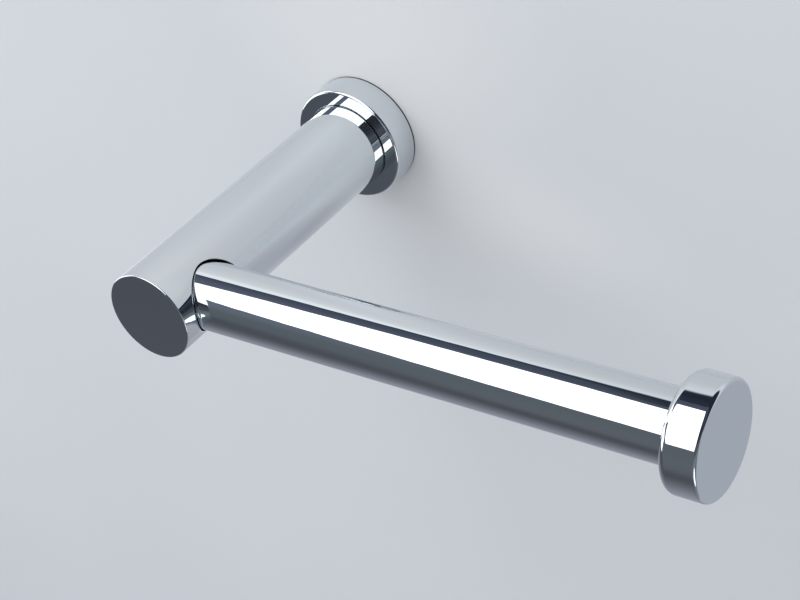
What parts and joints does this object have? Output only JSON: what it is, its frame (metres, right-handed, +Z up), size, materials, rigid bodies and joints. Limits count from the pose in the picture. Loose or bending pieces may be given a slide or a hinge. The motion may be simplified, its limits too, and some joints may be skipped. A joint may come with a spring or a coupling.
{
  "type": "toilet roll holder",
  "caption": "Wall-mounted toilet roll holder: a small round rose, a tubular post straight out of the wall and a straight roll bar that ends in a round disc, in polished chrome.",
  "frame": {"origin": "centre of the wall bracket's back face, on the post's axis and in the plane of the wall", "axes": "+Y into the wall, so the post points along -Y; +X along the roll bar, towards its end disc; +Z up"},
  "size_m": [0.1706, 0.1258, 0.0342],
  "materials": {
    "polished_chrome": "mirror-polished chrome plate on brass",
    "turned_brass": "turned, unplated",
    "turned_steel": "turned stainless steel",
    "zinc_plated_steel": "bright zinc plate",
    "grey_nylon": "moulded nylon"
  },
  "bodies": {
    "root": {"rose": "polished_chrome", "post": "polished_chrome", "roll_bar": "polished_chrome", "end_disc": "polished_chrome", "wall_bracket": "turned_steel", "bracket_screw_left": "zinc_plated_steel", "bracket_screw_right": "zinc_plated_steel", "wall_plug_left": "grey_nylon", "wall_plug_right": "grey_nylon", "rose_grub_screw": "turned_steel", "post_foot": "turned_brass", "locating_pin": "turned_steel", "tie_bolt": "zinc_plated_steel", "spring_washer": "turned_steel", "bar_anchor": "turned_brass", "bar_end_plug": "turned_brass", "disc_stud": "turned_steel"}
  },
  "joints": []
}
